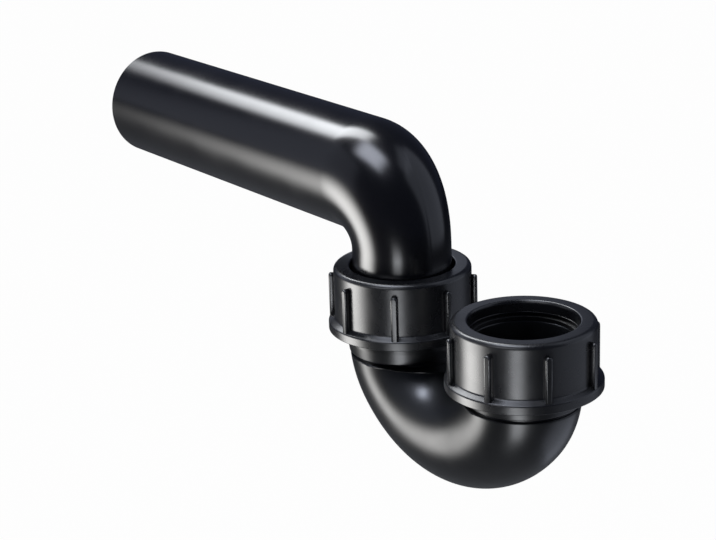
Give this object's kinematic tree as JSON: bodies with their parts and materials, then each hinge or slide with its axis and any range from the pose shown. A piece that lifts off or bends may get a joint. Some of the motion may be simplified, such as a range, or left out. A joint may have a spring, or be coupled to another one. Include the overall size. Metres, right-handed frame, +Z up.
{
  "type": "tubular trap",
  "caption": "Black plastic tubular trap: U-shaped lower bend with ribbed union nuts and a swivelling outlet bend with a long plain pipe, for a basin or sink waste.",
  "frame": {"origin": "centre of the lower bend's inlet rim, on the inlet leg's axis", "axes": "+Z up, along the inlet leg and the way a waste tail leaves it; the outlet leg stands at -X, and the outlet pipe runs on towards -X"},
  "size_m": [0.3104, 0.0648, 0.147],
  "materials": {
    "satin_moulding": "satin moulded black polyethylene",
    "gloss_pipe": "smooth glossy black polyethylene",
    "satin_nut": "satin moulded black polypropylene",
    "slip_ring": "smooth moulded black polyethylene",
    "gasket_rubber": "moulded black rubber"
  },
  "bodies": {
    "lower_bend": {"u_bend": "satin_moulding", "inlet_gasket": "gasket_rubber", "outlet_gasket": "gasket_rubber"},
    "outlet_bend": {"outlet_bend": "gloss_pipe"},
    "outlet_slip_ring": {"outlet_slip_ring": "slip_ring"},
    "outlet_nut": {"outlet_nut": "satin_nut"},
    "inlet_slip_ring": {"inlet_slip_ring": "slip_ring"},
    "inlet_nut": {"inlet_nut": "satin_nut"}
  },
  "joints": [
    {"name": "outlet_swivel", "type": "hinge", "parent": "lower_bend", "child": "outlet_bend", "pos_m": [-0.079, 0, 0], "axis": [0, 0, 1], "continuous": true},
    {"name": "outlet_nut_turn", "type": "hinge", "parent": "lower_bend", "child": "outlet_slip_ring", "pos_m": [-0.079, 0, 0], "axis": [0, 0, 1], "range_deg": [0, 960]},
    {"name": "outlet_nut_rise", "type": "slide", "parent": "outlet_slip_ring", "child": "outlet_nut", "axis": [0, 0, 1], "range_m": [0, 0.008]},
    {"name": "inlet_nut_turn", "type": "hinge", "parent": "lower_bend", "child": "inlet_slip_ring", "pos_m": [0, 0, 0], "axis": [0, 0, 1], "range_deg": [0, 1440]},
    {"name": "inlet_nut_rise", "type": "slide", "parent": "inlet_slip_ring", "child": "inlet_nut", "axis": [0, 0, 1], "range_m": [0, 0.012]}
  ],
  "couplings": [
    {"joint": "outlet_nut_rise", "follows": "outlet_nut_turn", "m_per_rad": 0.00047746},
    {"joint": "inlet_nut_rise", "follows": "inlet_nut_turn", "m_per_rad": 0.00047746}
  ]
}
